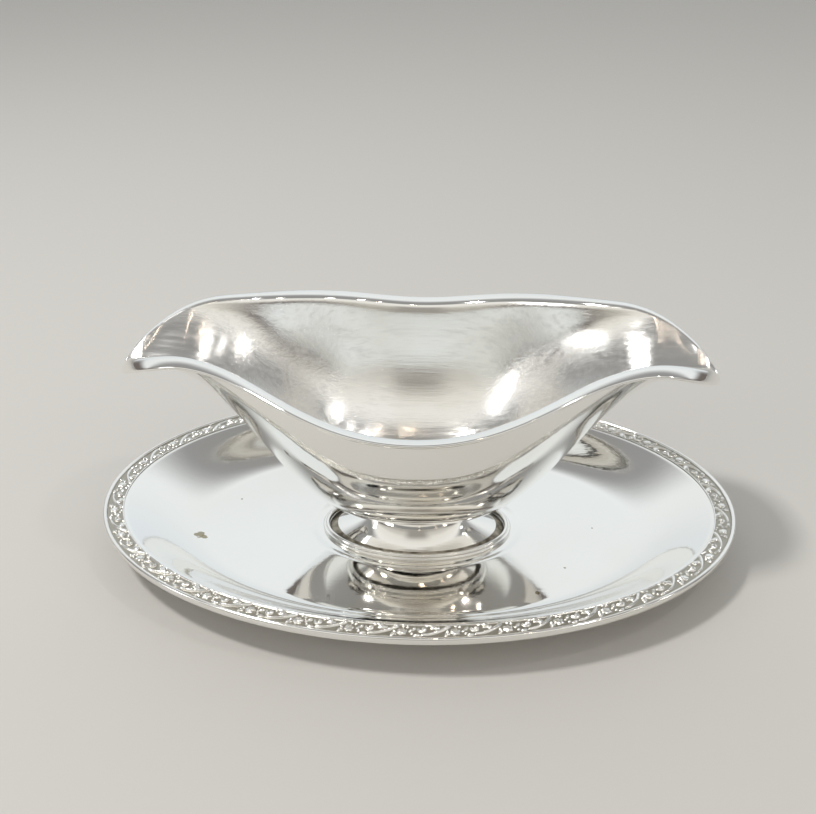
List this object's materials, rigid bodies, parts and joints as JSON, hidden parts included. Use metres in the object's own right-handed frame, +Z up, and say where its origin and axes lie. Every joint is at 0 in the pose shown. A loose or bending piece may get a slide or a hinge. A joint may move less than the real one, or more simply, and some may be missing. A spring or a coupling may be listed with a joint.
{
  "type": "gravy boat",
  "caption": "Polished silver-plated gravy boat with two drooping spouts on an oval pedestal foot, standing loose in an oval dished underplate with a floral border.",
  "frame": {"origin": "centre of the underplate's flat standing face", "axes": "+Z up, +X from spout to spout, +Y across the boat"},
  "size_m": [0.24, 0.16, 0.0855],
  "materials": {
    "polished_silver": "hand-polished silver plate, mirror outside, fine brushed scratches inside the bowl",
    "oxidised_silver": "die-struck relief, bright on the high points with dark tarnish in the recesses"
  },
  "bodies": {
    "underplate": {"underplate_dish": "polished_silver", "border_band": "oxidised_silver", "edge_wire": "polished_silver"},
    "boat": {"boat_bowl": "polished_silver", "boat_foot": "polished_silver", "foot_base_wire": "polished_silver"}
  },
  "joints": [
    {"name": "boat_lift", "type": "slide", "parent": "underplate", "child": "boat", "axis": [0, 0, 1], "range_m": [0, 0.08]}
  ]
}
